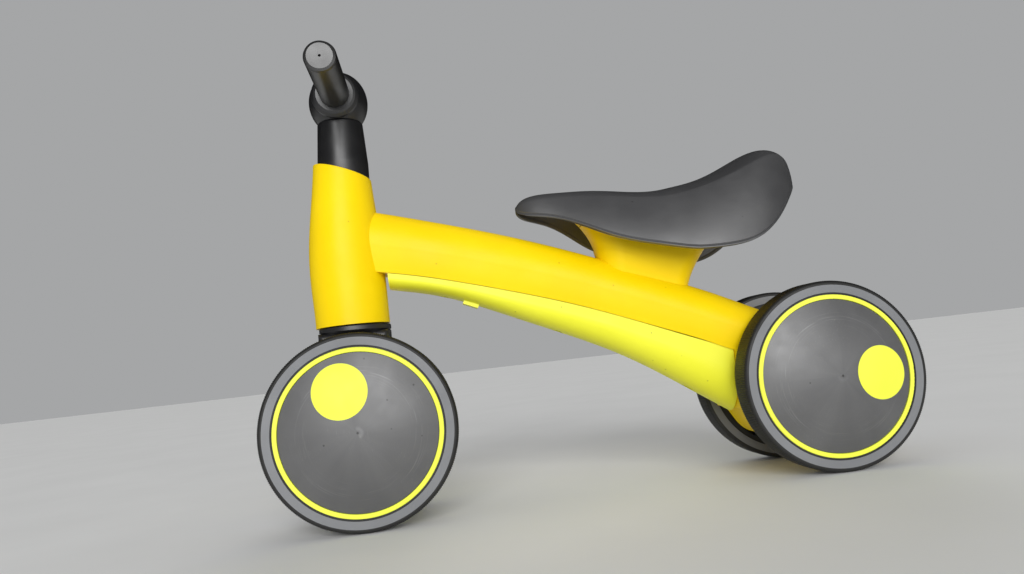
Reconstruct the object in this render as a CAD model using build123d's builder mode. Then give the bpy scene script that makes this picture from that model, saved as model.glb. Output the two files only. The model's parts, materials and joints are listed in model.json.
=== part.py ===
"""Four-wheeled balance bike for a toddler, built as separate pieces.

Millimetres. +X is forward, +Y is the rider's left, +Z is up. The origin is on the
ground, midway between the axles and on the centre plane.
"""
from build123d import *
import math
import os

# Overall layout
WHEEL_R = 75.0
WHEELBASE = 372.0
TYRE_WIDTH = 23.0
REAR_TRACK_INNER = 38.0     # centre plane to the inner face of a rear wheel
FRONT_TRACK_INNER = 25.0    # centre plane to the inner face of a front wheel
REAR_AXLE = (-WHEELBASE / 2, 0, WHEEL_R)
FRONT_AXLE = (WHEELBASE / 2, 0, WHEEL_R)

# Wheels, measured outwards from the inner face
TYRE_BORE_R = 64.3
TYRE_SHOULDER = 3.6
RIM_R = 61.0
RIM_START = 0.8
RIM_END = 22.4
WEB_START = 9.0
WEB_END = 12.0
HUB_R = 11.0
HUB_END = 19.0
RIB_COUNT = 10
RING_INNER_R = 60.1
RING_OUTER_R = 63.7
RING_DEPTH = 2.0
COVER_R = 59.8
COVER_RISE = 9.0
COVER_WALL = 2.2
DOT_R = 21.0
DOT_OFFSET = 33.5
DOT_DEPTH = 1.2
PROUD = 0.3                 # how far the coloured trims stand out
AXLE_R = 4.0
BUSH_R = 6.5
RUNNING = 0.06              # radial clearance of a turning fit
FLANGE_R = 9.0
FLANGE = 1.5
END_FLOAT = 0.3             # side clearance of a turning wheel

# Steering axis, leaning back a little
RAKE = math.radians(1.0)
TRAIL = 1.6
STEER_FOOT_X = FRONT_AXLE[0] + TRAIL + WHEEL_R * math.tan(RAKE)
STEER_LIMIT = 67.5
STEERER_R = 12.7
STEERER_WALL = 2.0
STEERER_FOOT = 128.0
STEERER_TOP = 318.0
SPIGOT_FOOT = 292.0         # bottom of the hub's spigot inside the steerer
BLADE_HALF = 20.0           # half the width of the fork blade, along Y
CROWN_R = 29.0
CROWN_TOP = 156.8
NECK_R = 24.0
BAR_HEIGHT = 345.0
BAR_R = 8.0
GRIP_R = 12.0
GRIP_START = 27.0
GRIP_END = 102.5
COLLAR_START = 20.0
COLLAR_R = 19.3

# Frame beam: x, half width, top, crease between frame and cover, bottom of the cover
BEAM = [
    (172, 20.0, 252.0, 199.5, 189.5),
    (136, 20.8, 243.0, 192.5, 180.0),
    (100, 21.5, 233.0, 183.5, 169.5),
    (50, 22.5, 218.0, 169.0, 148.0),
    (0, 24.0, 200.5, 152.5, 125.5),
    (-50, 26.5, 181.0, 132.8, 98.5),
    (-100, 29.5, 160.0, 112.0, 65.0),
    (-126, 31.0, 148.3, 100.6, 47.0),
]
SHELL_WALL = 3.0
COVER_FRONT = 155.0
COVER_REAR = -118.5
# The beam carried on over the rear axle: x, half width, top, floor
REAR_TOP = [
    (-150, 32.0, 136.8, 90.0),
    (-186, 32.5, 119.5, 76.0),
    (-206, 32.0, 108.5, 68.0),
    (-219, 30.5, 97.0, 62.0),
    (-226.5, 27.0, 83.0, 67.0),
]
# Lower half of the rear housing, under the beam: x, half width, top, bottom
HOUSING = [
    (-119, 30.0, 131.0, 55.0),
    (-129, 30.7, 128.0, 48.5),
    (-147, 31.5, 122.0, 29.0),
    (-165, 31.8, 116.0, 28.5),
    (-186, 31.8, 106.0, 33.5),
    (-206, 31.2, 96.0, 40.5),
    (-219, 29.5, 86.0, 53.0),
    (-225.5, 25.5, 79.0, 67.0),
]
HOUSING_HALF = 32.5
HOUSING_WALL = 4.0
SCREW_X = [112.0, 20.0, -85.0]

# Saddle: x, half width and height of the rim, half width and height of the ridge, crown
SADDLE = [
    (43, 4.5, 237.0, 3.5, 241.0, 243.5),
    (37, 11.5, 233.5, 8.5, 244.5, 249.0),
    (21, 19.5, 229.5, 13.5, 246.0, 252.0),
    (-10, 36.0, 215.0, 21.0, 243.5, 251.5),
    (-50, 49.0, 197.0, 29.0, 237.5, 247.0),
    (-90, 58.0, 186.5, 36.0, 236.0, 247.0),
    (-125, 61.0, 186.5, 41.0, 244.5, 255.0),
    (-155, 56.0, 199.0, 40.0, 256.5, 268.0),
    (-176, 43.0, 219.0, 33.0, 261.5, 272.0),
    (-190, 26.0, 232.0, 21.0, 257.5, 265.5),
    (-198, 9.0, 240.5, 8.0, 248.5, 252.0),
]
SADDLE_WALL = 3.0
CAVITY_DROP = 4.0           # how far the saddle's hollow is drawn past its rim
BOSS_R = 6.0
BOSS_HEIGHT = 40.0
SEAT_SCREW_LENGTH = 15.0
PEDESTAL_TOP = 226.0
SEAT_SCREWS = [(-38.0, 13.0), (-92.0, 13.0)]

SCREW_R = 2.0
SCREW_HEAD_R = 4.0
HEAD_SEAT = 5.0             # depth of the cover's screw heads above its belly
PEDESTAL_BOLTS = [-42.0, -70.0]
BOLT_PLAY = 0.3
LOWER_BUSH_R = 21.0
LOWER_BUSH_TOP = 176.0
UPPER_BUSH_R = 17.5
UPPER_BUSH_START = 252.0
STEM_R = 20.8
STEM_START = 270.0
STEM_TOP = 327.2

STEER = Plane(
    origin=(STEER_FOOT_X, 0, 0),
    x_dir=(math.cos(RAKE), 0, math.sin(RAKE)),
    z_dir=(-math.sin(RAKE), 0, math.cos(RAKE)),
)
STEER_AXIS = Axis(STEER.origin, STEER.z_dir)
STEER_PROFILE = Plane(origin=STEER.origin, x_dir=STEER.x_dir, z_dir=-STEER.y_dir)
BAR_X = STEER_FOOT_X - BAR_HEIGHT * math.tan(RAKE)

os.makedirs("parts", exist_ok=True)


def save(part, label):
    """Label a finished piece and write its STEP file."""
    part.label = label
    export_step(part, f"parts/{label}.step")


def turned(outline, plane, axis):
    """Solid of revolution of a closed outline given as (radius, height) corners."""
    with BuildPart() as piece:
        with BuildSketch(plane):
            with BuildLine():
                Polyline(*outline, close=True)
            make_face()
        revolve(axis=axis)
    return piece.part


def on_steering(outline):
    """Turned solid about the steering axis; heights run up that axis from the ground."""
    return turned(outline, STEER_PROFILE, STEER_AXIS)


def on_wheel(outline):
    """Turned solid about a wheel's axis, with heights outwards from its inner face."""
    return turned(outline, Plane.XY, Axis.Y)


def tube_outline(inner, outer, low, high):
    """Corners of a plain tube's section."""
    return [(inner, low), (outer, low), (outer, high), (inner, high)]


def both_sides(shape, x, y, z):
    """A piece built against y = 0 placed at (x, y, z), with its mirror image."""
    with BuildPart() as pair:
        with Locations((x, y, z)):
            add(shape)
        mirror(about=Plane.XZ)
    return pair.part


# ---------------------------------------------------------------- wheels
with BuildPart() as tyre:
    with BuildSketch(Plane.XY) as tyre_section:
        with Locations((TYRE_BORE_R, 0)):
            Rectangle(WHEEL_R - TYRE_BORE_R, TYRE_WIDTH, align=(Align.MIN, Align.MIN))
        fillet(tyre_section.vertices().group_by(Axis.X)[-1], TYRE_SHOULDER)
    revolve(axis=Axis.Y)

with BuildPart() as wheel_core:
    with BuildSketch(Plane.XY):
        with BuildLine():
            Polyline(
                (BUSH_R, FLANGE), (HUB_R, FLANGE), (HUB_R, WEB_START), (RIM_R, WEB_START),
                (RIM_R, RIM_START), (TYRE_BORE_R, RIM_START), (TYRE_BORE_R, RIM_END),
                (RING_OUTER_R, RIM_END), (RING_OUTER_R, RIM_END - RING_DEPTH),
                (COVER_R, RIM_END - RING_DEPTH), (COVER_R, HUB_END), (COVER_R - 2.6, HUB_END),
                (COVER_R - 2.6, WEB_END), (HUB_R, WEB_END), (HUB_R, HUB_END), (BUSH_R, HUB_END),
                close=True,
            )
        make_face()
    revolve(axis=Axis.Y)
    with BuildSketch(Plane.ZX.offset(3)):
        with PolarLocations((HUB_R + RIM_R) / 2, RIB_COUNT):
            Rectangle(RIM_R - HUB_R + 2, 2.4)
    extrude(amount=WEB_START - 3 + 0.5)

# The domed cover is part of a sphere, with posts that snap into the web
SPHERE_R = (COVER_R ** 2 + COVER_RISE ** 2) / (2 * COVER_RISE)
APEX = RIM_END + COVER_RISE


def dome_layer(outer_lift, inner_drop, radius):
    """Cap of the cover's sphere between two offsets, out to a radius."""
    centre = APEX - SPHERE_R
    rise = [math.sqrt((SPHERE_R + lift) ** 2 - radius ** 2) + centre
            for lift in (outer_lift, -inner_drop)]
    with BuildPart() as layer:
        with BuildSketch(Plane.XY):
            with BuildLine():
                Line((0, APEX - inner_drop), (0, APEX + outer_lift))
                RadiusArc((0, APEX + outer_lift), (radius, rise[0]), SPHERE_R + outer_lift)
                Line((radius, rise[0]), (radius, rise[1]))
                RadiusArc((radius, rise[1]), (0, APEX - inner_drop), -(SPHERE_R - inner_drop))
            make_face()
        revolve(axis=Axis.Y)
    return layer.part


with BuildPart() as accent_dot:
    add(dome_layer(PROUD, DOT_DEPTH, COVER_R))
    with BuildSketch(Plane.ZX):
        with Locations((0, DOT_OFFSET)):
            Circle(DOT_R)
    extrude(amount=2 * APEX, mode=Mode.INTERSECT)

with BuildPart() as disc_cover:
    add(dome_layer(0, COVER_WALL, COVER_R))
    with BuildSketch(Plane.ZX.offset(HUB_END)):
        Circle(COVER_R)
        Circle(COVER_R - 2.6, mode=Mode.SUBTRACT)
    extrude(amount=RIM_END - HUB_END)
    with BuildSketch(Plane.ZX.offset(WEB_END)):
        with PolarLocations(46, 3, start_angle=30):
            Circle(3)
    extrude(amount=RIM_END - WEB_END + 1.5)
    add(accent_dot.part, mode=Mode.SUBTRACT)

with BuildPart() as accent_ring:
    with BuildSketch(Plane.ZX.offset(RIM_END - RING_DEPTH)):
        Circle(RING_OUTER_R)
        Circle(RING_INNER_R, mode=Mode.SUBTRACT)
    extrude(amount=TYRE_WIDTH + PROUD - RIM_END + RING_DEPTH)
    fillet(accent_ring.edges().group_by(Axis.Y)[-1], 0.6)

wheel_bush = on_wheel([
    (AXLE_R + RUNNING, 0), (FLANGE_R, 0), (FLANGE_R, FLANGE), (BUSH_R, FLANGE),
    (BUSH_R, HUB_END + 0.5), (AXLE_R + RUNNING, HUB_END + 0.5),
])

WHEEL_PIECES = {
    "tyre": tyre.part,
    "core": wheel_core.part,
    "cover": disc_cover.part,
    "accent_ring": accent_ring.part,
    "accent_dot": accent_dot.part,
    "bush": wheel_bush,
}
# name, axle, distance of the inner face, side, angle of the dot above forward
WHEELS = [
    ("front_left", FRONT_AXLE, FRONT_TRACK_INNER, 1, 71.0),
    ("front_right", FRONT_AXLE, FRONT_TRACK_INNER, -1, 215.0),
    ("rear_left", REAR_AXLE, REAR_TRACK_INNER, 1, 182.0),
    ("rear_right", REAR_AXLE, REAR_TRACK_INNER, -1, 30.0),
]
for wheel_name, axle, inner_face, side, dot_angle in WHEELS:
    for piece_name, shape in WHEEL_PIECES.items():
        with BuildPart() as placed:
            with Locations(Location((axle[0], inner_face, axle[2]), (0, -dot_angle, 0))):
                add(shape)
            if side < 0:
                mirror(about=Plane.XZ, mode=Mode.REPLACE)
        save(placed.part, f"{wheel_name}_{piece_name}")

# ---------------------------------------------------------------- axles and their fastenings
WASHER_START = HUB_END + 0.5 + END_FLOAT
WASHER_END = WASHER_START + 1.2
NUT_END = WASHER_END + 5.0
AXLE_END = NUT_END + 1.5

with BuildPart() as nut:
    with BuildSketch(Plane.ZX.offset(WASHER_END)):
        RegularPolygon(6.5, 6, major_radius=False)
        Circle(AXLE_R, mode=Mode.SUBTRACT)
    extrude(amount=NUT_END - WASHER_END)
    chamfer(nut.faces().sort_by(Axis.Y)[-1].outer_wire().edges(), 0.7)

washer = on_wheel(tube_outline(AXLE_R, FLANGE_R - 1, WASHER_START, WASHER_END))

for end, axle, inner_face, support in (
    ("front", FRONT_AXLE, FRONT_TRACK_INNER, BLADE_HALF),
    ("rear", REAR_AXLE, REAR_TRACK_INNER, HOUSING_HALF),
):
    half_length = inner_face + AXLE_END
    with BuildPart() as axle_rod:
        with BuildSketch(Plane.XZ):
            with Locations((axle[0], axle[2])):
                Circle(AXLE_R)
        extrude(amount=half_length, both=True)
        chamfer(axle_rod.edges().filter_by(GeomType.CIRCLE), 0.8)
    save(axle_rod.part, f"{end}_axle")
    spacer = on_wheel(tube_outline(AXLE_R, FLANGE_R, support - inner_face, -END_FLOAT))
    save(both_sides(spacer, axle[0], inner_face, axle[2]), f"{end}_axle_spacers")
    save(both_sides(washer, axle[0], inner_face, axle[2]), f"{end}_axle_washers")
    save(both_sides(nut.part, axle[0], inner_face, axle[2]), f"{end}_axle_nuts")

SLEEVE_R = 7.0
with BuildPart() as rear_axle_sleeve:
    with BuildSketch(Plane.XZ):
        with Locations((REAR_AXLE[0], REAR_AXLE[2])):
            Circle(SLEEVE_R)
            Circle(AXLE_R, mode=Mode.SUBTRACT)
    extrude(amount=HOUSING_HALF, both=True)
save(rear_axle_sleeve.part, "rear_axle_sleeve")


# ---------------------------------------------------------------- frame shell
def arched_section(x, half, top, shoulder, low, wall):
    """Closed section with a flat floor, bulging sides and a round top."""
    floor_half = half - 2.0 - wall
    with BuildSketch(Plane.YZ.offset(x)) as section:
        with BuildLine():
            Line((-floor_half, low), (floor_half, low))
            TangentArc((half - wall, shoulder), (floor_half, low), tangent=(0, -1))
            EllipticalCenterArc((0, shoulder), half - wall, top - wall - shoulder, arc_size=180)
            TangentArc((wall - half, shoulder), (-floor_half, low), tangent=(0, -1))
        make_face()
    return section.sketch


def beam_section(station, wall, floor_drop):
    """Upper beam section, standing on the crease."""
    x, half, top, crease = station[:4]
    shoulder = crease + 0.42 * (top - crease)
    return arched_section(x, half, top, shoulder, crease - floor_drop, wall)


def housing_section(station):
    """Section of the housing's lower half."""
    x, half, top, bottom = station
    return arched_section(x, half, top, (top + bottom) / 2, bottom, 0)


def cover_section(station, wall, lift):
    """Under cover section: flat top just below the crease and a round belly."""
    x, half, _, crease, bottom = station
    side = half - 3.2 - wall
    high = crease - 0.3 + lift
    middle = crease - 0.35 * (crease - bottom)
    with BuildSketch(Plane.YZ.offset(x)) as section:
        with BuildLine():
            Line((side, high), (-side, high))
            Line((-side, high), (-side, middle))
            EllipticalCenterArc(
                (0, middle), side, middle - bottom - wall, start_angle=180, arc_size=180
            )
            Line((side, middle), (side, high))
        make_face()
    return section.sketch


def lofted(sections):
    """Smooth solid through a row of sections."""
    with BuildPart() as body:
        loft(sections=sections)
    return body.part


beam_outer = lofted([beam_section(station, 0, 0) for station in BEAM + REAR_TOP])
beam_cavity = lofted([beam_section(station, SHELL_WALL, 0.5) for station in BEAM])

# Head barrel: height, x of its centre, radius
RIM_HEIGHT = 285.3
BARREL = [
    (157.4, 187.6, 29.8),
    (187.0, 188.0, 30.2),
    (214.0, 188.2, 29.9),
    (240.0, 187.6, 28.0),
    (266.0, 186.6, 25.2),
    (300.0, 184.9, 22.7),
]
with BuildPart() as head_barrel:
    for height, centre_x, radius in BARREL:
        with BuildSketch(Plane.XY.offset(height)):
            with Locations((centre_x, 0)):
                Circle(radius)
    loft()
    rim_lean = math.radians(19.5)
    split(
        bisect_by=Plane(
            origin=(184.6, 0, RIM_HEIGHT),
            z_dir=(-math.sin(rim_lean), 0, math.cos(rim_lean)),
        ),
        keep=Keep.BOTTOM,
    )
    fillet(head_barrel.faces().sort_by(Axis.Z)[-1].edges(), 1.2)


def steering_circle(radius, low, high):
    """Plain cylinder on the steering axis between two heights."""
    with BuildPart() as cylinder:
        with BuildSketch(STEER.offset(low)):
            Circle(radius)
        extrude(amount=high - low)
    return cylinder.part


def beam_height(x, column):
    """Height of a beam line at x, straight between stations; 2 is top, 3 crease, 4 bottom."""
    for front, rear in zip(BEAM, BEAM[1:]):
        if rear[0] <= x <= front[0]:
            share = (x - rear[0]) / (front[0] - rear[0])
            return rear[column] + share * (front[column] - rear[column])
    return BEAM[-1][column]


with BuildPart() as frame_shell:
    add(lofted([housing_section(station) for station in HOUSING]))
    add(beam_outer)
    add(head_barrel.part)
    # Hollow of the housing, and the channel of the beam that the cover closes
    with BuildSketch(Plane.XZ):
        with Locations((REAR_AXLE[0], REAR_AXLE[2])):
            Circle(35)
        with Locations((-146, 45), (-130, 100)):
            Circle(6)
        make_hull()
    extrude(amount=HOUSING_HALF - 2 * HOUSING_WALL, both=True, mode=Mode.SUBTRACT)
    with BuildSketch(Plane.YZ.offset(-110)):
        with Locations((0, 122)):
            Circle(9)
    extrude(amount=-25, mode=Mode.SUBTRACT)
    channel_length = COVER_FRONT - COVER_REAR - 9
    with BuildPart(mode=Mode.PRIVATE) as channel:
        add(beam_cavity)
        with Locations((COVER_FRONT - 6 - channel_length / 2, 0, 150)):
            Box(channel_length, 100, 400, mode=Mode.INTERSECT)
    add(channel.part, mode=Mode.SUBTRACT)
    # Screw posts for the under cover
    for post_x in SCREW_X:
        crease_here = beam_height(post_x, 3)
        post_height = beam_height(post_x, 2) - 1.5 - crease_here
        with BuildSketch(Plane.XY.offset(crease_here)):
            with Locations((post_x, 0)):
                Circle(5.5)
                Circle(SCREW_R, mode=Mode.SUBTRACT)
        extrude(amount=post_height)
    # Bores in the head for the steerer, the two bushes and the foot of the stem
    for radius, low, high in (
        (STEERER_R + 1.3, 150, 320),
        (LOWER_BUSH_R, 150, LOWER_BUSH_TOP),
        (UPPER_BUSH_R, UPPER_BUSH_START, 320),
        (STEM_R + 0.4, STEM_START - 1, 320),
    ):
        add(steering_circle(radius, low, high), mode=Mode.SUBTRACT)
    add(on_steering([
        (STEERER_R + 4.3, 184), (24.5, 184), (24.5, 214), (20.0, 243), (STEERER_R + 4.3, 243),
    ]), mode=Mode.SUBTRACT)
    # Bore for the axle sleeve, and two bolt holes up into the pedestal
    with BuildSketch(Plane.XZ):
        with Locations((REAR_AXLE[0], REAR_AXLE[2])):
            Circle(SLEEVE_R)
    extrude(amount=HOUSING_HALF + 1, both=True, mode=Mode.SUBTRACT)
    with BuildSketch(Plane.XY.offset(150)):
        with Locations(*[(bolt_x, 0) for bolt_x in PEDESTAL_BOLTS]):
            Circle(SCREW_R + BOLT_PLAY)
    extrude(amount=60, mode=Mode.SUBTRACT)
save(frame_shell.part, "frame_shell")

# ---------------------------------------------------------------- under cover
with BuildPart() as cover_span:
    with Locations(((COVER_FRONT + COVER_REAR) / 2, 0, 120)):
        Box(COVER_FRONT - COVER_REAR, 100, 300)
with BuildPart() as cover_hollow_span:
    with Locations(((COVER_FRONT + COVER_REAR) / 2, 0, 120)):
        Box(COVER_FRONT - COVER_REAR - 2 * SHELL_WALL, 100, 300)
with BuildPart() as cover_hollow:
    add(lofted([cover_section(station, SHELL_WALL, 2) for station in BEAM]))
    add(cover_hollow_span.part, mode=Mode.INTERSECT)
with BuildPart() as cover_outer:
    add(lofted([cover_section(station, 0, 0) for station in BEAM]))
    add(cover_span.part, mode=Mode.INTERSECT)


def cover_columns(radius, below, above):
    """Upright cylinders at the cover's screws, about the seats of the screw heads."""
    with BuildPart() as columns:
        for column_x in SCREW_X:
            low = beam_height(column_x, 4) + HEAD_SEAT - below
            high = min(low + below + above, beam_height(column_x, 3) - 0.5)
            with BuildSketch(Plane.XY.offset(low)):
                with Locations((column_x, 0)):
                    Circle(radius)
            extrude(amount=high - low)
    return columns.part


with BuildPart() as cover_sleeves:
    add(cover_columns(6, 10, 120))
    add(cover_outer.part, mode=Mode.INTERSECT)
with BuildPart() as under_cover:
    add(cover_outer.part)
    add(cover_hollow.part, mode=Mode.SUBTRACT)
    add(cover_sleeves.part)
    add(cover_columns(SCREW_HEAD_R + 0.3, 20, 0), mode=Mode.SUBTRACT)
    add(cover_columns(SCREW_R, 0, 120), mode=Mode.SUBTRACT)
    # Release tab under the front
    with BuildSketch(Plane.XZ):
        with Locations((90, beam_height(90, 4) + 0.2)):
            Rectangle(13, 4, rotation=23)
    extrude(amount=7, both=True)
save(under_cover.part, "under_cover")


def screw(x, z, head_r, head, length):
    """Pan head screw pointing up, its head resting at height z."""
    with BuildPart() as fastener:
        with BuildSketch(Plane.XY.offset(z - head)):
            with Locations((x, 0)):
                Circle(head_r)
        extrude(amount=head)
        fillet(fastener.edges().group_by(Axis.Z)[0], 0.8)
        with BuildSketch(Plane.XY.offset(z)):
            with Locations((x, 0)):
                Circle(SCREW_R)
        extrude(amount=length)
        with BuildSketch(Plane.XY.offset(z - head)):
            with Locations((x, 0)):
                RegularPolygon(1.6, 6)
        extrude(amount=1.6, mode=Mode.SUBTRACT)
    return fastener.part


with BuildPart() as cover_screws:
    for screw_x in SCREW_X:
        seat_z = beam_height(screw_x, 4) + HEAD_SEAT
        add(screw(screw_x, seat_z, SCREW_HEAD_R, 2.4, beam_height(screw_x, 3) + 14 - seat_z))
save(cover_screws.part, "cover_screws")

# ---------------------------------------------------------------- seat pedestal
# Height, front, rear and half width of the pedestal's sections
PEDESTAL = [
    (150.0, -25.5, -94.0, 14.0),
    (172.0, -22.5, -101.0, 17.0),
    (198.0, -20.0, -120.0, 21.0),
    (PEDESTAL_TOP, -6.0, -140.0, 25.0),
]

PANEL_PROUD = 0.6
PANEL_ARCH = [(-18, 199.8), (-45.6, 191.3), (-63, 181.2), (-72.7, 170.1), (-75.8, 158)]


def pedestal_loft(wall, top):
    """Flared block through the pedestal's sections, drawn in by a wall."""
    sections = []
    for height, front, rear, half in PEDESTAL:
        with BuildSketch(Plane.XY.offset(min(height, top))) as section:
            with Locations(((front + rear) / 2, 0)):
                length = front - rear - 2 * wall
                width = 2 * (half - wall)
                RectangleRounded(length, width, width / 2 - 0.5)
        sections.append(section.sketch)
    return lofted(sections)


with BuildPart() as pedestal_hollow:
    add(pedestal_loft(SHELL_WALL, PEDESTAL_TOP - 4))
    with Locations((0, 0, 4)):
        add(beam_outer, mode=Mode.SUBTRACT)

# Raised panel low on both sides of the pedestal, under an arched edge
with BuildPart() as pedestal_panel:
    with BuildSketch(Plane.XZ):
        with BuildLine():
            arch = Spline(*PANEL_ARCH)
            Polyline(arch @ 1, (PANEL_ARCH[-1][0], 140), (10, 140), (10, PANEL_ARCH[0][1]), arch @ 0)
        make_face()
    extrude(amount=40, both=True)
    add(pedestal_loft(-PANEL_PROUD, PEDESTAL_TOP), mode=Mode.INTERSECT)

with BuildPart() as seat_pedestal:
    add(pedestal_loft(0, PEDESTAL_TOP))
    add(pedestal_panel.part)
    add(pedestal_hollow.part, mode=Mode.SUBTRACT)
    for bolt_x in PEDESTAL_BOLTS:
        with BuildSketch(Plane.XY.offset(150)):
            with Locations((bolt_x, 0)):
                Circle(6)
        extrude(amount=50)
        with BuildSketch(Plane.XY.offset(150)):
            with Locations((bolt_x, 0)):
                Circle(SCREW_R)
        extrude(amount=46, mode=Mode.SUBTRACT)
    with BuildSketch(Plane.XY.offset(PEDESTAL_TOP - 5)):
        for screw_x, screw_y in SEAT_SCREWS:
            with Locations((screw_x, screw_y), (screw_x, -screw_y)):
                Circle(SCREW_R)
    extrude(amount=8, mode=Mode.SUBTRACT)
    add(beam_outer, mode=Mode.SUBTRACT)
save(seat_pedestal.part, "seat_pedestal")

with BuildPart() as pedestal_bolts:
    for bolt_x in PEDESTAL_BOLTS:
        under_top = beam_height(bolt_x, 2) - 8.5
        add(screw(bolt_x, under_top, 5.2, 3.4, 195 - under_top))
save(pedestal_bolts.part, "pedestal_bolts")


# ---------------------------------------------------------------- seat
def saddle_section(station, wall, floor_drop):
    """Closed saddle section: flat floor at the rim, raked flanks and a crowned top."""
    x, rim, rim_z, ridge, ridge_z, crown_z = station
    rim, ridge = rim - wall, ridge - wall * 0.8
    ridge_z, crown_z = ridge_z - wall, crown_z - wall
    low = rim_z - floor_drop
    swell = ((rim + ridge) / 2 + 0.06 * (ridge_z - low), (low + ridge_z) / 2)
    with BuildSketch(Plane.YZ.offset(x)) as section:
        with BuildLine():
            Line((-rim, low), (rim, low))
            ThreePointArc((rim, low), swell, (ridge, ridge_z))
            ThreePointArc((ridge, ridge_z), (0, crown_z), (-ridge, ridge_z))
            ThreePointArc((-ridge, ridge_z), (-swell[0], swell[1]), (-rim, low))
        make_face()
    return section.sketch


saddle_outer = lofted([saddle_section(station, 0, 0) for station in SADDLE])
saddle_cavity = lofted(
    [saddle_section(station, SADDLE_WALL, CAVITY_DROP) for station in SADDLE[1:-1]]
)
with BuildPart() as seat_bosses:
    for screw_x, screw_y in SEAT_SCREWS:
        with BuildSketch(Plane.XY.offset(PEDESTAL_TOP)):
            with Locations((screw_x, screw_y), (screw_x, -screw_y)):
                Circle(BOSS_R)
        extrude(amount=BOSS_HEIGHT)
    add(saddle_outer, mode=Mode.INTERSECT)
with BuildPart() as seat:
    add(saddle_outer)
    add(saddle_cavity, mode=Mode.SUBTRACT)
    add(seat_bosses.part)
    for screw_x, screw_y in SEAT_SCREWS:
        with BuildSketch(Plane.XY.offset(PEDESTAL_TOP)):
            with Locations((screw_x, screw_y), (screw_x, -screw_y)):
                Circle(SCREW_R)
        extrude(amount=SEAT_SCREW_LENGTH - 3, mode=Mode.SUBTRACT)
save(seat.part, "seat")

with BuildPart() as seat_screws:
    for screw_x, screw_y in SEAT_SCREWS:
        for row_y in (screw_y, -screw_y):
            with Locations((0, row_y, 0)):
                add(screw(screw_x, PEDESTAL_TOP - 4, SCREW_HEAD_R, 2.4, SEAT_SCREW_LENGTH))
save(seat_screws.part, "seat_screws")

# ---------------------------------------------------------------- steering
LUG_HALF = 12.0             # half the angle of the fixed stop lug, in degrees
STOP_CLEARANCE = 1.5
STOP_INNER_R = 15.0
STOP_OUTER_R = 20.0


def stop_sector(centre, half, low, high):
    """Block of a ring about the steering axis, centred on a direction."""
    with BuildPart() as sector:
        with BuildSketch(STEER.offset(low)):
            with BuildLine():
                inner = CenterArc((0, 0), STOP_INNER_R, centre - half, 2 * half)
                outer = CenterArc((0, 0), STOP_OUTER_R, centre - half, 2 * half)
                Line(inner @ 0, outer @ 0)
                Line(inner @ 1, outer @ 1)
            make_face()
        extrude(amount=high - low)
    return sector.part


with BuildPart() as lower_bush:
    add(on_steering([
        (STEERER_R + RUNNING, 161), (LOWER_BUSH_R, 161), (LOWER_BUSH_R, LOWER_BUSH_TOP),
        (STEERER_R + RUNNING, LOWER_BUSH_TOP),
    ]))
    add(stop_sector(0, LUG_HALF, 157.6, 161.5))
save(lower_bush.part, "lower_steering_bush")
save(on_steering(tube_outline(STEERER_R + RUNNING, UPPER_BUSH_R, UPPER_BUSH_START, STEM_START - 1)),
     "upper_steering_bush")

FORK_AXLE = STEER.to_local_coords(Vector(*FRONT_AXLE))
STOP_HALF = 180 - STEER_LIMIT - LUG_HALF - STOP_CLEARANCE
with BuildPart() as fork:
    with BuildSketch(STEER_PROFILE):
        with Locations((FORK_AXLE.X, FORK_AXLE.Z)):
            Circle(21)
        with Locations((0, 146)):
            Rectangle(56, 12)
        make_hull()
    extrude(amount=BLADE_HALF, both=True)
    fillet(fork.edges().filter_by(GeomType.LINE).filter_by(Axis.Y, reverse=True), 5)
    # Round crown on a narrower neck that passes between the two tyres
    add(on_steering([
        (0, 138), (NECK_R, 138), (NECK_R, 149.5), (CROWN_R - 1, 152), (CROWN_R, 153),
        (CROWN_R, 156), (CROWN_R - 0.8, CROWN_TOP), (0, CROWN_TOP),
    ]))
    add(stop_sector(180, STOP_HALF, CROWN_TOP - 0.5, 160.4))
    add(steering_circle(STEERER_R, STEERER_FOOT, 170), mode=Mode.SUBTRACT)
    with BuildSketch(Plane.XZ):
        with Locations((FRONT_AXLE[0], FRONT_AXLE[2])):
            Circle(AXLE_R)
    extrude(amount=BLADE_HALF + 1, both=True, mode=Mode.SUBTRACT)
save(fork.part, "fork")

save(on_steering(tube_outline(STEERER_R - STEERER_WALL, STEERER_R, STEERER_FOOT, STEERER_TOP)),
     "steerer_tube")

with BuildPart() as stem:
    add(on_steering([
        (STEERER_R, STEM_START), (STEM_R, STEM_START), (STEM_R, 292), (18.6, STEM_TOP - 1.2),
        (17.6, STEM_TOP), (STEERER_R - STEERER_WALL, STEM_TOP),
        (STEERER_R - STEERER_WALL, STEERER_TOP), (STEERER_R, STEERER_TOP),
    ]))
save(stem.part, "stem")

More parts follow.
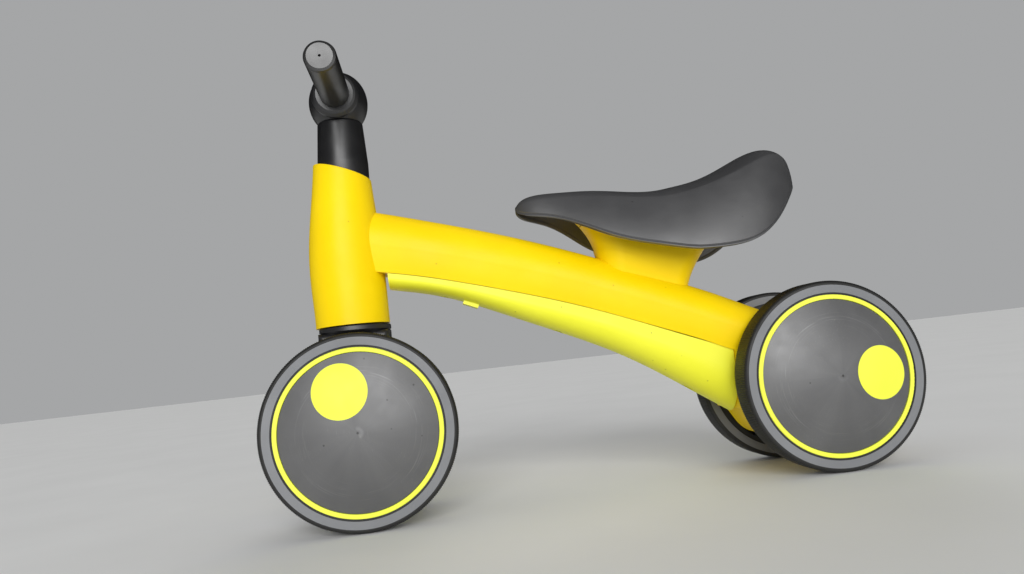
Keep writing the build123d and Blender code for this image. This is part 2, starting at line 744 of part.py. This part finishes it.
BALL_R = 24.2
BALL_HALF_HEIGHT = 26.5
SPIGOT_R = STEERER_R - STEERER_WALL - 0.05
with BuildPart() as handlebar_hub:
    with BuildSketch(STEER_PROFILE):
        with BuildLine():
            drop = BAR_HEIGHT - STEM_TOP
            start = -math.degrees(math.asin(drop / BALL_HALF_HEIGHT))
            ball = EllipticalCenterArc(
                (0, BAR_HEIGHT), BALL_R, BALL_HALF_HEIGHT, start_angle=start, arc_size=90 - start
            )
            Polyline(
                ball @ 0, (SPIGOT_R, STEM_TOP), (SPIGOT_R, SPIGOT_FOOT), (0, SPIGOT_FOOT), ball @ 1
            )
        make_face()
    revolve(axis=STEER_AXIS)
    with BuildSketch(Plane.XZ):
        with Locations((BAR_X, BAR_HEIGHT)):
            Circle(BAR_R)
    extrude(amount=40, both=True, mode=Mode.SUBTRACT)
    for side_y in (COLLAR_START, -COLLAR_START - 10):
        with BuildSketch(Plane.XZ.offset(-side_y)):
            with Locations((BAR_X, BAR_HEIGHT)):
                Circle(COLLAR_R)
        extrude(amount=-10, mode=Mode.SUBTRACT)
save(handlebar_hub.part, "handlebar_hub")

with BuildPart() as handlebar_tube:
    with BuildSketch(Plane.XZ):
        with Locations((BAR_X, BAR_HEIGHT)):
            Circle(BAR_R)
            Circle(BAR_R - 1.5, mode=Mode.SUBTRACT)
    extrude(amount=GRIP_END - 7, both=True)
save(handlebar_tube.part, "handlebar_tube")

GRIP_TIP = GRIP_END - 7
grip_body = on_wheel([
    (BAR_R, GRIP_START), (GRIP_R, GRIP_START), (GRIP_R, GRIP_END - 2.5), (GRIP_R - 0.7, GRIP_END - 0.7),
    (GRIP_R - 2.5, GRIP_END), (1.0, GRIP_END), (1.0, GRIP_TIP), (BAR_R, GRIP_TIP),
])
collar_body = on_wheel([
    (BAR_R, COLLAR_START), (COLLAR_R - 0.8, COLLAR_START), (COLLAR_R, COLLAR_START + 1.5),
    (COLLAR_R - 0.4, 24.0), (COLLAR_R - 2.4, 26.2), (15.0, GRIP_START), (BAR_R, GRIP_START),
])
for label, shape in (("grip", grip_body), ("collar", collar_body)):
    for side_name, side in (("left", 1), ("right", -1)):
        with BuildPart() as placed:
            with Locations((BAR_X, 0, BAR_HEIGHT)):
                add(shape)
            if side < 0:
                mirror(about=Plane.XZ, mode=Mode.REPLACE)
        save(placed.part, f"{label}_{side_name}")
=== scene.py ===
"""Looks of the balance bike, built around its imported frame. Metres, in the frame's own axes."""
import json
import math

import bmesh
import bpy
from mathutils import Matrix, Vector
from mathutils.bvhtree import BVHTree


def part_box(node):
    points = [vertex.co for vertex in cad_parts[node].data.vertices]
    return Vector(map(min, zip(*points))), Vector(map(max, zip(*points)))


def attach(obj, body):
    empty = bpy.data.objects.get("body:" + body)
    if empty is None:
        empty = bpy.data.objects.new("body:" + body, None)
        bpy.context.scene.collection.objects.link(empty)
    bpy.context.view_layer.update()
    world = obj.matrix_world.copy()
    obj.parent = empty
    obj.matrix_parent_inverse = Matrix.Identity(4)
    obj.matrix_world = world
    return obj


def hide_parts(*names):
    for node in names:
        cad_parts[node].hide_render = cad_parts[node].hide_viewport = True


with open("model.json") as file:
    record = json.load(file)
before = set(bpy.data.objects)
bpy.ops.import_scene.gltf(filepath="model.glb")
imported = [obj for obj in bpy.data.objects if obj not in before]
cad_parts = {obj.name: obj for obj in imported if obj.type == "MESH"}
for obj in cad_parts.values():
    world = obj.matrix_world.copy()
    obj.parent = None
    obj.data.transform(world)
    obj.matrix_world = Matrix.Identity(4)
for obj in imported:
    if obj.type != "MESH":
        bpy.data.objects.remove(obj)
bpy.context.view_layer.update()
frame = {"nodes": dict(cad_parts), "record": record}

MM = 0.001

# ---------------------------------------------------------------- camera, light and floor
CAMERA_AT = Vector((0.1204, 0.6324, 0.1183))
CAMERA_AIM = Vector((0.0541, 0.0, 0.1760))
CAMERA_ROLL = math.radians(-6.46)
CAMERA_LENS = 26.7
SENSOR_WIDTH = 36.0
NEAREST_VIEW = 0.01

KEY_FROM = (0.15, 2.0, 0.62)
LOW_FILL_FROM = (-0.8, 1.8, 0.15)
BACK_FROM = (-0.4, -2.0, 0.7)
WORLD_COLOUR = (0.80, 0.81, 0.82, 1)
WORLD_STRENGTH = 0.47
FLOOR_HALF = 9.0


def make_camera():
    """The camera low on the rider's left, tilted a little about its own axis."""
    data = bpy.data.cameras.new("camera")
    data.lens = CAMERA_LENS
    data.sensor_width = SENSOR_WIDTH
    data.clip_start = NEAREST_VIEW
    camera = bpy.data.objects.new("camera", data)
    bpy.context.scene.collection.objects.link(camera)
    look = (CAMERA_AIM - CAMERA_AT).to_track_quat("-Z", "Y").to_matrix().to_4x4()
    roll = Matrix.Rotation(CAMERA_ROLL, 4, "Z")
    camera.matrix_world = Matrix.Translation(CAMERA_AT) @ look @ roll
    bpy.context.scene.camera = camera


def soft_sun(name, place, spread, strength, glossy=True):
    """Broad soft light from the direction of a place, even over the whole floor."""
    data = bpy.data.lights.new(name, "SUN")
    data.angle = spread
    data.energy = strength
    light = bpy.data.objects.new(name, data)
    bpy.context.scene.collection.objects.link(light)
    light.rotation_euler = (-Vector(place)).to_track_quat("-Z", "Y").to_euler()
    light.visible_glossy = glossy


def make_stage():
    """Pale floor, pale surroundings and three soft lights."""
    bpy.context.scene.view_settings.view_transform = "Standard"
    world = bpy.data.worlds.new("studio")
    bpy.context.scene.world = world
    world.use_nodes = True
    background = world.node_tree.nodes["Background"]
    background.inputs["Color"].default_value = WORLD_COLOUR
    background.inputs["Strength"].default_value = WORLD_STRENGTH
    world.cycles_visibility.glossy = False
    mesh = bpy.data.meshes.new("floor")
    corners = [(x * FLOOR_HALF, y * FLOOR_HALF, 0) for x, y in ((-1, -1), (1, -1), (1, 1), (-1, 1))]
    mesh.from_pydata(corners, [], [(0, 1, 2, 3)])
    floor = bpy.data.objects.new("floor", mesh)
    bpy.context.scene.collection.objects.link(floor)
    mesh.materials.append(floor_finish())
    soft_sun("key", KEY_FROM, 0.70, 2.4)
    soft_sun("low_fill", LOW_FILL_FROM, 0.40, 0.35)
    soft_sun("back", BACK_FROM, 0.80, 0.9, glossy=False)


# ---------------------------------------------------------------- materials
class Nodes:
    """Short way to add and link the shader nodes of one material."""

    def __init__(self, name):
        self.material = bpy.data.materials.new(name)
        self.material.use_nodes = True
        self.tree = self.material.node_tree
        self.shader = self.tree.nodes["Principled BSDF"]
        self.place = self.add("ShaderNodeTexCoord").outputs["Object"]

    def add(self, kind, **settings):
        node = self.tree.nodes.new(kind)
        for key, value in settings.items():
            setattr(node, key, value)
        return node

    def feed(self, node, socket, value):
        """Link an output to a socket, or set a plain value on it."""
        if isinstance(value, bpy.types.NodeSocket):
            self.tree.links.new(value, node.inputs[socket])
        elif isinstance(value, tuple) and len(value) == 3 and node.inputs[socket].type == "RGBA":
            node.inputs[socket].default_value = (*value, 1)
        else:
            node.inputs[socket].default_value = value

    def math(self, operation, first, second=0.0):
        node = self.add("ShaderNodeMath", operation=operation)
        self.feed(node, 0, first)
        self.feed(node, 1, second)
        return node.outputs["Value"]

    def noise(self, scale, detail=3.0, place=None, roughness=0.55):
        """Noise value; the scale is in cells per metre of the place vector."""
        node = self.add("ShaderNodeTexNoise")
        self.feed(node, "Scale", scale)
        self.feed(node, "Detail", detail)
        self.feed(node, "Roughness", roughness)
        self.feed(node, "Vector", place or self.place)
        return node.outputs["Fac"]

    def turned_place(self, scale, turn):
        """The object's coordinates turned and stretched."""
        node = self.add("ShaderNodeMapping")
        self.feed(node, "Vector", self.place)
        self.feed(node, "Rotation", turn)
        self.feed(node, "Scale", scale)
        return node.outputs["Vector"]

    def ramp(self, value, *stops):
        """Colour ramp from (position, colour) stops; a number stands for a grey."""
        node = self.add("ShaderNodeValToRGB")
        elements = node.color_ramp.elements
        while len(elements) < len(stops):
            elements.new(0.5)
        for element, (position, colour) in zip(elements, stops):
            element.position = position
            grey = isinstance(colour, (int, float))
            element.color = (colour, colour, colour, 1) if grey else (*colour, 1)
        self.feed(node, "Fac", value)
        return node.outputs["Color"]

    def mix(self, share, first, second):
        """Mix of two colours or colour outputs."""
        node = self.add("ShaderNodeMix", data_type="RGBA")
        for socket, value in ((0, share), (6, first), (7, second)):
            self.feed(node, socket, value)
        return node.outputs[2]

    def bump(self, height, strength, distance, before=None):
        node = self.add("ShaderNodeBump")
        self.feed(node, "Height", height)
        self.feed(node, "Strength", strength)
        self.feed(node, "Distance", distance)
        if before:
            self.feed(node, "Normal", before)
        return node.outputs["Normal"]

    def joined(self, x, y):
        """Vector of two values."""
        node = self.add("ShaderNodeCombineXYZ")
        self.feed(node, "X", x)
        self.feed(node, "Y", y)
        return node.outputs["Vector"]

    def wheel_polar(self):
        """Radius from the nearest axle in metres, and the angle about it as 0 to 1."""
        parts = self.add("ShaderNodeSeparateXYZ")
        self.feed(parts, "Vector", self.place)
        across = self.math("SUBTRACT", self.math("ABSOLUTE", parts.outputs["X"]), AXLE_X)
        up = self.math("SUBTRACT", parts.outputs["Z"], AXLE_Z)
        square = self.math("ADD", self.math("POWER", across, 2.0), self.math("POWER", up, 2.0))
        turn = self.math("ARCTAN2", up, across)
        share = self.math("ADD", self.math("DIVIDE", turn, math.tau), 0.5)
        return self.math("SQRT", square), share


def wheel_axis():
    low, high = (Vector(corner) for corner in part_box("front_left_tyre"))
    return (low + high) / 2


AXLE_X = wheel_axis().x
AXLE_Z = wheel_axis().z


def hairlines(nodes, seed):
    """Fine scratches in two directions that come and go, as a 0 to 1 value."""
    lines = []
    for number, turn in enumerate((0.7 + seed, 2.0 + seed)):
        place = nodes.turned_place((2600, 2600, 60), (turn, turn * 0.8, number))
        value = nodes.noise(1.0, 2.0, place, 0.5)
        lines.append(nodes.ramp(value, (0.0, 0.0), (0.69, 0.0), (0.73, 1.0)))
    patches = nodes.ramp(nodes.noise(22, 2), (0.46, 0.0), (0.62, 1.0))
    return nodes.mix(patches, (0.0, 0.0, 0.0), nodes.mix(0.5, lines[0], lines[1]))


def specks(nodes, scale, size):
    """Tiny spots of grit, as a 0 to 1 value."""
    node = nodes.add("ShaderNodeTexVoronoi")
    nodes.feed(node, "Scale", scale)
    nodes.feed(node, "Vector", nodes.place)
    return nodes.ramp(node.outputs["Distance"], (0.0, 1.0), (size, 1.0), (size * 1.6, 0.0))


GRIT = (0.012, 0.011, 0.010)
# lighter grey of the disc's fans: painted reflection
DISC_FAN_SHEEN = (0.125, 0.125, 0.127)
DISC_SCRATCH = (0.24, 0.24, 0.24)
# lighter grey of the radial streaks: partly scratches, partly painted highlight
DISC_RAY_SCRATCH_AND_SHEEN = (0.26, 0.26, 0.26)


def moulded(name, low, high, rough, grain=(2600, 0.10), scuff=0.3, grit=0.0,
            mark=(0.5, 0.5, 0.5), gloss=0.5, shade=None):
    """Moulded plastic or rubber: drifting colour, mould grain, hairlines and specks of dirt."""
    nodes = Nodes(name)
    colour = nodes.ramp(nodes.noise(14, 4), (0.3, low), (0.7, high))
    if shade:
        colour = shade(nodes, colour)
    lines = hairlines(nodes, len(name) * 0.37)
    colour = nodes.mix(nodes.ramp(lines, (0.0, 0.0), (1.0, scuff)), colour, mark)
    if grit:
        spots = specks(nodes, 60, 0.035)
        colour = nodes.mix(nodes.ramp(spots, (0.0, 0.0), (1.0, grit)), colour, GRIT)
    nodes.feed(nodes.shader, "Base Color", colour)
    nodes.feed(nodes.shader, "Specular IOR Level", gloss)
    cloud = nodes.ramp(nodes.noise(45, 3), (0.3, rough * 0.85), (0.7, rough * 1.15))
    nodes.feed(nodes.shader, "Roughness", nodes.mix(lines, cloud, (rough + 0.12,) * 3))
    fine = nodes.bump(nodes.noise(grain[0], 2), grain[1], 0.0001)
    nodes.feed(nodes.shader, "Normal", nodes.bump(nodes.noise(38, 2), 0.06, 0.001, fine))
    return nodes.material


def disc_shade(nodes, colour):
    """Painted reflection as lighter fans, radial streaks of scratches and painted highlight,
    polished arcs near the edge and the gate mark in the middle of a wheel disc.
    """
    radius, share = nodes.wheel_polar()
    def polar_noise(turns, reach, detail):
        return nodes.noise(1.0, detail, nodes.joined(nodes.math("MULTIPLY", share, turns),
                                                     nodes.math("MULTIPLY", radius, reach)))

    # lighter fans round the axle: painted reflection of the surroundings on the domed disc
    sheen_fans = nodes.ramp(polar_noise(9.0, 6.0, 3), (0.35, 0.0), (0.75, 1.0))
    colour = nodes.mix(nodes.ramp(sheen_fans, (0.0, 0.0), (1.0, 0.45)), colour, DISC_FAN_SHEEN)
    lines = nodes.ramp(polar_noise(7.0, 900.0, 2), (0.58, 0.0), (0.70, 1.0))
    edge = nodes.ramp(nodes.math("MULTIPLY", radius, 10.0), (0.36, 0.0), (0.45, 0.4), (0.54, 0.0))
    colour = nodes.mix(nodes.mix(lines, (0.0, 0.0, 0.0), edge), colour, DISC_SCRATCH)
    # fine radial streaks: partly scratches, partly a painted highlight of the cone's radial sheen
    ray_scratches_and_sheen = nodes.ramp(polar_noise(190.0, 20.0, 1), (0.72, 0.0), (0.82, 0.14))
    colour = nodes.mix(ray_scratches_and_sheen, colour, DISC_RAY_SCRATCH_AND_SHEEN)
    gate = nodes.ramp(nodes.math("MULTIPLY", radius, 100.0), (0.06, 1.0), (0.11, 0.0))
    return nodes.mix(gate, colour, GRIT)


def metal(name, colour, rough):
    """Zinc-plated steel with drawn lines and uneven brightness."""
    nodes = Nodes(name)
    dull = tuple(share * 0.8 for share in colour)
    shade = nodes.ramp(nodes.noise(60, 4), (0.3, dull), (0.7, colour))
    nodes.feed(nodes.shader, "Base Color", shade)
    nodes.feed(nodes.shader, "Metallic", 1.0)
    lines = nodes.noise(1.0, 3, nodes.turned_place((300, 9000, 300), (0, 0, 0)))
    nodes.feed(nodes.shader, "Roughness", nodes.ramp(lines, (0.3, rough), (0.7, rough + 0.15)))
    nodes.feed(nodes.shader, "Normal", nodes.bump(lines, 0.15, 0.0001))
    return nodes.material


def floor_finish():
    """Pale smooth floor with the faintest mottling."""
    nodes = Nodes("floor")
    shade = nodes.ramp(nodes.noise(6, 3), (0.3, (0.77, 0.77, 0.76)), (0.7, (0.80, 0.80, 0.79)))
    nodes.feed(nodes.shader, "Base Color", shade)
    nodes.feed(nodes.shader, "Roughness", 0.75)
    return nodes.material


MATERIALS = {
    "golden": moulded("golden_plastic", (0.90, 0.62, 0.001), (0.96, 0.69, 0.002), 0.40,
                      scuff=0.10, grit=0.25, mark=(0.98, 0.85, 0.20), gloss=0.15),
    "lemon": moulded("lemon_plastic", (0.84, 0.83, 0.030), (0.90, 0.89, 0.045), 0.40,
                     scuff=0.10, grit=0.35, mark=(0.95, 0.95, 0.4), gloss=0.3),
    "accent": moulded("accent_plastic", (0.80, 0.85, 0.060), (0.87, 0.92, 0.085), 0.45,
                      scuff=0.12, grit=0.3, mark=(0.95, 0.97, 0.4), gloss=0.25),
    "black": moulded("black_plastic", (0.009, 0.009, 0.010), (0.014, 0.014, 0.015), 0.42,
                     grain=(3200, 0.25), scuff=0.10, mark=(0.2, 0.2, 0.2), gloss=0.8),
    "seat": moulded("seat_plastic", (0.048, 0.048, 0.050), (0.064, 0.064, 0.066), 0.42,
                    grain=(3000, 0.2), scuff=0.18, grit=0.8, mark=(0.3, 0.3, 0.3), gloss=1.0),
    "disc": moulded("disc_plastic", (0.066, 0.066, 0.068), (0.092, 0.092, 0.094), 0.42,
                    grain=(2400, 0.2), scuff=0.40, grit=0.9, mark=(0.40, 0.40, 0.40), gloss=0.8,
                    shade=disc_shade),
    "core": moulded("core_plastic", (0.016, 0.016, 0.016), (0.024, 0.024, 0.024), 0.5,
                    grain=(2600, 0.3), scuff=0.06, mark=(0.15, 0.15, 0.15)),
    "tread": moulded("tread_rubber", (0.010, 0.010, 0.010), (0.016, 0.016, 0.015), 0.58,
                     grain=(1500, 0.4), scuff=0.06, mark=(0.2, 0.2, 0.18)),
    # side bands: the tread's dark rubber painted a lighter grey, a painted sheen of reflected sky
    "painted_sheen_band": moulded("sidewall_rubber", (0.155, 0.160, 0.170), (0.200, 0.205, 0.215), 0.5,
                        grain=(1700, 0.35), scuff=0.15, grit=0.5, mark=(0.42, 0.42, 0.42)),
    "grip": moulded("grip_rubber", (0.008, 0.008, 0.008), (0.013, 0.013, 0.013), 0.38,
                    grain=(2200, 0.25), scuff=0.14, mark=(0.25, 0.25, 0.25), gloss=1.0),
    "nylon": moulded("bush_nylon", (0.62, 0.61, 0.57), (0.70, 0.69, 0.65), 0.45,
                     scuff=0.1, mark=(0.5, 0.5, 0.45)),
    "steel": metal("zinc_steel", (0.62, 0.62, 0.63), 0.28),
}

# ---------------------------------------------------------------- finishes on the CAD nodes
SLOT_FINISH = {
    "golden_plastic": "golden", "lemon_plastic": "lemon", "black_plastic": "black",
    "seat_plastic": "seat", "disc_plastic": "disc", "wheel_plastic": "core", "tyre": "tread",
    "grip_rubber": "grip", "bush_plastic": "nylon", "steel": "steel",
}


def dress_frame():
    """Give each CAD node the finish of its slot; the wheels' trims are a brighter lemon."""
    for part in frame["record"]["subparts"]:
        finish = "accent" if "accent" in part["node"] else SLOT_FINISH[part["material_slot"]]
        for slot in frame["nodes"][part["node"]].material_slots:
            slot.material = MATERIALS[finish]


SMOOTH_BELOW = math.radians(38)


def add_piece(name, mesh_data, body, slot, *nodes):
    """A finished mesh as a piece that rides on a body and stands for CAD nodes."""
    mesh = bpy.data.meshes.new(name)
    mesh_data.normal_update()
    mesh_data.to_mesh(mesh)
    mesh_data.free()
    piece = bpy.data.objects.new(name, mesh)
    bpy.context.scene.collection.objects.link(piece)
    mesh.shade_smooth()
    mesh.set_sharp_from_angle(angle=SMOOTH_BELOW)
    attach(piece, body)
    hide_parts(*nodes)
    return piece


# ---------------------------------------------------------------- tyres
TREAD_RIBS = 300
RIB_DEPTH = 0.35 * MM
SHOULDER_R = 3.0 * MM
SHOULDER_STEPS = 5
BORE_SHARE = 0.857          # bore radius over the tyre's radius
LIP = 0.25 * MM             # the flat side band lies this much under the box
LIP_WIDTH = 0.5 * MM
BAND_MARGIN = 0.8 * MM
SHEEN_BAND_ROW = 2                # row of the section that carries the flat side band, painted a lighter grey as sheen
RIB_STEPS = 4               # rings per rib, of which the first two are sunk


def make_tyre(wheel):
    """Tyre with a finely ribbed tread and a flat band on each side whose lighter grey is painted
    sheen, standing for its CAD node.
    """
    low, high = (Vector(corner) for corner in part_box(f"{wheel}_tyre"))
    centre = (low + high) / 2
    radius = (high.z - low.z) / 2
    width = high.y - low.y
    bore = radius * BORE_SHARE
    edge = radius - SHOULDER_R
    near = [(bore, 0.0), (bore + BAND_MARGIN, 0.0), (bore + BAND_MARGIN + LIP, LIP),
            (edge - LIP_WIDTH, LIP), (edge - LIP_WIDTH / 2, 0.0)]
    for step in range(SHOULDER_STEPS + 1):
        angle = math.pi / 2 * step / SHOULDER_STEPS
        near.append((edge + SHOULDER_R * math.sin(angle), SHOULDER_R * (1 - math.cos(angle))))
    section = near + [(out, width - across) for out, across in reversed(near)]
    sheen_band_rows = (SHEEN_BAND_ROW, len(section) - 2 - SHEEN_BAND_ROW)
    rib_rows = range(len(near) - SHOULDER_STEPS + 1, len(section) - len(near) + SHOULDER_STEPS - 1)
    shape = bmesh.new()
    rings = []
    turns = TREAD_RIBS * RIB_STEPS
    for index in range(turns):
        angle = math.tau * index / turns
        sunk = RIB_DEPTH if index % RIB_STEPS in (0, 1) else 0.0
        ring = []
        for row, (out, across) in enumerate(section):
            out -= sunk if row in rib_rows else 0.0
            ring.append(shape.verts.new((centre.x + out * math.cos(angle), low.y + across,
                                         centre.z + out * math.sin(angle))))
        rings.append(ring)
    for ring, following in zip(rings, rings[1:] + rings[:1]):
        for row in range(len(section)):
            nxt = (row + 1) % len(section)
            face = shape.faces.new((ring[row], following[row], following[nxt], ring[nxt]))
            # the flat side bands take the lighter grey: painted sheen on the same black rubber
            face.material_index = 1 if row in sheen_band_rows else 0
    bmesh.ops.recalc_face_normals(shape, faces=shape.faces)
    piece = add_piece(f"{wheel}_tyre_ribbed", shape, f"{wheel}_wheel", "tyre", f"{wheel}_tyre")
    piece.data.materials.append(MATERIALS["tread"])
    piece.data.materials.append(MATERIALS["painted_sheen_band"])


# ---------------------------------------------------------------- saddle
SADDLE_ROWS = 110
PROBES = 90
SADDLE_WALL = 3.0 * MM
RIM_STEPS = (0.0, 0.5, 1.0, 1.4, 1.8, 2.2, 2.6, 3.4)
GROOVE = {3: 0.35, 4: 0.55, 5: 0.35}
FLANK_STEPS = 18
RIDGE_STEPS = (-0.8, -0.3, 0.3, 0.8)
CROWN_STEPS = 11
SMALL_FLANK = 9.0 * MM      # flanks shorter than this get their rim and ridge steps scaled down
END_INSET = 0.3 * MM        # the first and last row lie this far inside the saddle's ends
FRONT_END = ((1.3, 0.25), (1.0, 0.62), (0.5, 0.88))     # (shift in mm, share of the row's size)
BACK_END = ((-0.6, 0.88), (-1.2, 0.62), (-1.6, 0.25))
THIN_SHARE = 0.15           # the wall is at most this share of a row's width
SIDE_START = 0.3            # rays start this far out to the side
TOP_START = 0.5             # and this far up
HALVINGS = 18
TURN_REACH = 4              # points on either side of the one whose turn is measured
RIDGE_RANGE = (0.35, 0.92)  # shares of the line between which the ridge may lie
RIDGE_DEFAULT = 0.6


class SaddleProbe:
    """Finds the saddle's outer skin on the CAD node by casting rays at it."""

    def __init__(self):
        graph = bpy.context.evaluated_depsgraph_get()
        self.tree = BVHTree.FromObject(frame["nodes"]["seat"], graph)
        self.low, self.high = (Vector(corner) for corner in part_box("seat"))

    def side_hit(self, x, z):
        return self.tree.ray_cast(Vector((x, SIDE_START, z)), Vector((0, -1, 0)))[0]

    def top_height(self, x, y):
        return self.tree.ray_cast(Vector((x, y, TOP_START)), Vector((0, 0, -1)))[0].z

    def rim_height(self, x):
        """Lowest height at which the saddle is met from the side."""
        below, above = self.low.z - MM, self.top_height(x, 0.0) - 1.5 * MM
        for _ in range(HALVINGS):
            middle = (below + above) / 2
            hit = self.side_hit(x, middle)
            if hit and hit.y > 0:
                above = middle
            else:
                below = middle
        return above

    def line(self, x):
        """Points over the outer skin from the left rim up to the middle of the crown."""
        rim = self.rim_height(x)
        core = Vector((x, 0, rim))
        points = []
        for index in range(PROBES + 1):
            angle = math.pi / 2 * index / PROBES
            away = Vector((0, math.cos(angle), math.sin(angle)))
            start = core + away * SIDE_START + Vector((0, 0, 0.05 * MM))
            hit = self.tree.ray_cast(start, -away)[0]
            if hit:
                points.append(hit)
        return points


def lengths_along(points):
    """Running length at each point of a line."""
    total = [0.0]
    for first, second in zip(points, points[1:]):
        total.append(total[-1] + (second - first).length)
    return total


def point_at(points, total, length):
    """Point of a line at a running length."""
    length = min(max(length, 0.0), total[-1])
    for index in range(1, len(points)):
        if total[index] >= length:
            span = total[index] - total[index - 1] or 1.0
            return points[index - 1].lerp(points[index], (length - total[index - 1]) / span)
    return points[-1].copy()


def ridge_length(points, total):
    """Running length at the sharpest turn between flank and crown."""
    best, place = -1.0, RIDGE_DEFAULT * total[-1]
    for index in range(TURN_REACH + 2, len(points) - TURN_REACH - 2):
        before = points[index] - points[index - TURN_REACH]
        after = points[index + TURN_REACH] - points[index]
        turn = before.angle(after, 0.0)
        if turn > best and RIDGE_RANGE[0] < total[index] / total[-1] < RIDGE_RANGE[1]:
            best, place = turn, total[index]
    return place


def smoothed(values, reach):
    """Moving average over a window that shrinks at the ends."""
    result = []
    for index in range(len(values)):
        window = min(reach, index, len(values) - 1 - index)
        part = values[index - window:index + window + 1]
        result.append(sum(part) / len(part))
    return result


def saddle_row(points, ridge_share):
    """One row of saddle points, left rim to crown, with the groove above the rim pressed in."""
    total = lengths_along(points)
    ridge = ridge_share * total[-1]
    unit = MM * min(1.0, ridge / SMALL_FLANK)
    marks = [step * unit for step in RIM_STEPS]
    start, stop = marks[-1], ridge + RIDGE_STEPS[0] * unit
    marks += [start + (stop - start) * step / FLANK_STEPS for step in range(1, FLANK_STEPS)]
    marks += [ridge + step * unit for step in RIDGE_STEPS]
    start = marks[-1]
    stop = total[-1]
    marks += [start + (stop - start) * step / CROWN_STEPS for step in range(1, CROWN_STEPS + 1)]
    row = [point_at(points, total, mark) for mark in marks]
    core = Vector((points[0].x, 0, points[0].z + 4 * unit))
    for index, depth in GROOVE.items():
        row[index] = row[index] + (core - row[index]).normalized() * depth * unit
    return row


def make_saddle():
    """Hollow saddle skin with a rolled ridge and a fine line along its rim."""
    probe = SaddleProbe()
    middle = (probe.low.x + probe.high.x) / 2
    half = (probe.high.x - probe.low.x) / 2 - END_INSET
    places = [middle + half * math.cos(math.pi * k / SADDLE_ROWS) for k in range(SADDLE_ROWS + 1)]
    lines = [probe.line(x) for x in places]
    totals = [lengths_along(line) for line in lines]
    shares = [ridge_length(line, total) / total[-1] for line, total in zip(lines, totals)]
    shares = smoothed(smoothed(shares, 6), 6)
    rows = []
    for line, share in zip(lines, shares):
        left = saddle_row(line, share)
        rows.append(left + [Vector((p.x, -p.y, p.z)) for p in reversed(left[:-1])])
    rows = rounded_ends(rows)
    shape = bmesh.new()
    outer = [[shape.verts.new(p) for p in row] for row in rows]
    skin(shape, outer)
    shape.normal_update()
    for row in outer:
        for vert in row:
            vert.normal_update()
    inner = []
    for row in outer:
        depth = min(SADDLE_WALL, THIN_SHARE * (row[0].co - row[-1].co).length)
        inner.append([shape.verts.new(vert.co - vert.normal * depth) for vert in row])
    skin(shape, inner)
    for side in (0, -1):
        for index in range(len(rows) - 1):
            shape.faces.new((outer[index][side], outer[index + 1][side],
                             inner[index + 1][side], inner[index][side]))
    for end in (0, -1):
        out, under = outer[end], inner[end]
        for corners in zip(out, out[1:], under[1:], under):
            shape.faces.new(corners)
    add_bosses(shape, probe)
    bmesh.ops.recalc_face_normals(shape, faces=shape.faces)
    piece = add_piece("saddle_skin", shape, "frame", "seat_plastic", "seat")
    piece.data.materials.append(MATERIALS["seat"])


def rounded_ends(rows):
    """Extra rows past the first and last one that draw the skin in to a rounded end."""
    def drawn(row, shift, share):
        core = sum(row, Vector()) / len(row)
        return [core.lerp(p, share) + Vector((shift * MM, 0, 0)) for p in row]

    front = [drawn(rows[0], shift, share) for shift, share in FRONT_END]
    back = [drawn(rows[-1], shift, share) for shift, share in BACK_END]
    return front + rows + back


def skin(shape, grid):
    """Quads between neighbouring rows."""
    for row, following in zip(grid, grid[1:]):
        for index in range(len(row) - 1):
            shape.faces.new((row[index], following[index], following[index + 1], row[index + 1]))


BOSS_R = 6 * MM
SCREW_HEAD_R = 4 * MM
BOSS_BURY = 2.9 * MM        # the bosses stop this far under the saddle's outer skin


def add_bosses(shape, probe):
    """Tubes under the skin that take the four seat screws."""
    low, high = (Vector(corner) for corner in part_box("seat_screws"))
    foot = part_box("seat_pedestal")[1][2]
    for x in (low.x + SCREW_HEAD_R, high.x - SCREW_HEAD_R):
        for y in (low.y + SCREW_HEAD_R, high.y - SCREW_HEAD_R):
            roof = probe.top_height(x, y) - BOSS_BURY
            place = Matrix.Translation((x, y, (foot + roof) / 2))
            bmesh.ops.create_cone(shape, cap_ends=True, segments=32, radius1=BOSS_R, radius2=BOSS_R,
                                  depth=roof - foot, matrix=place)


# ---------------------------------------------------------------- the whole scene
dress_frame()
for wheel in ("front_left", "front_right", "rear_left", "rear_right"):
    make_tyre(wheel)
make_saddle()
make_camera()
make_stage()
